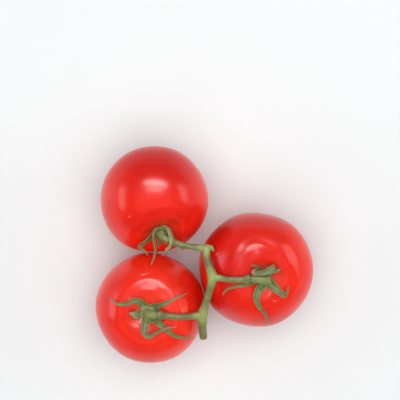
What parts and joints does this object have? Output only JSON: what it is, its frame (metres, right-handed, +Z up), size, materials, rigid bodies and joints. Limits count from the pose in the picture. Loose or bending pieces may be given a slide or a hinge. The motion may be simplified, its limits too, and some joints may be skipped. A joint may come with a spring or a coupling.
{
  "type": "truss of tomatoes",
  "caption": "Ripe round tomatoes on a green truss stem, each held by a knuckled stalk and a star of sepals; lies on a surface as fresh food or decoration.",
  "frame": {"origin": "on the surface the truss lies on, under the middle of its footprint", "axes": "+Z up; +Y along the main stem from its cut end to its tip; +X to the side of the single tomato"},
  "size_m": [0.1176, 0.1166, 0.06],
  "materials": {
    "ripe_skin": "smooth, glossy and slightly translucent ripe red skin",
    "green_stem": "fresh yellow-green stem with a fine pale fuzz",
    "olive_stalk": "olive green ribbed stalk, drying to brown",
    "sepal_green": "matt green sepals with paler undersides and dry brown tips"
  },
  "bodies": {
    "root": {"fruit_stalk_left": "olive_stalk", "fruit_stalk_right": "olive_stalk", "fruit_stalk_top": "olive_stalk", "hub_left": "sepal_green", "hub_right": "sepal_green", "hub_top": "sepal_green", "main_stem": "green_stem", "sepal_left_left": "sepal_green", "sepal_left_lower_left": "sepal_green", "sepal_left_lower_right": "sepal_green", "sepal_left_upper_left": "sepal_green", "sepal_left_upper_right": "sepal_green", "sepal_right_behind": "sepal_green", "sepal_right_lower": "sepal_green", "sepal_right_lower_right": "sepal_green", "sepal_right_under_stalk": "sepal_green", "sepal_right_upper": "sepal_green", "sepal_top_left": "sepal_green", "sepal_top_lower": "sepal_green", "sepal_top_middle": "sepal_green", "sepal_top_right": "sepal_green", "sepal_top_under_stalk": "sepal_green", "tomato_left": "ripe_skin", "tomato_right": "ripe_skin", "tomato_top": "ripe_skin"}
  },
  "joints": []
}
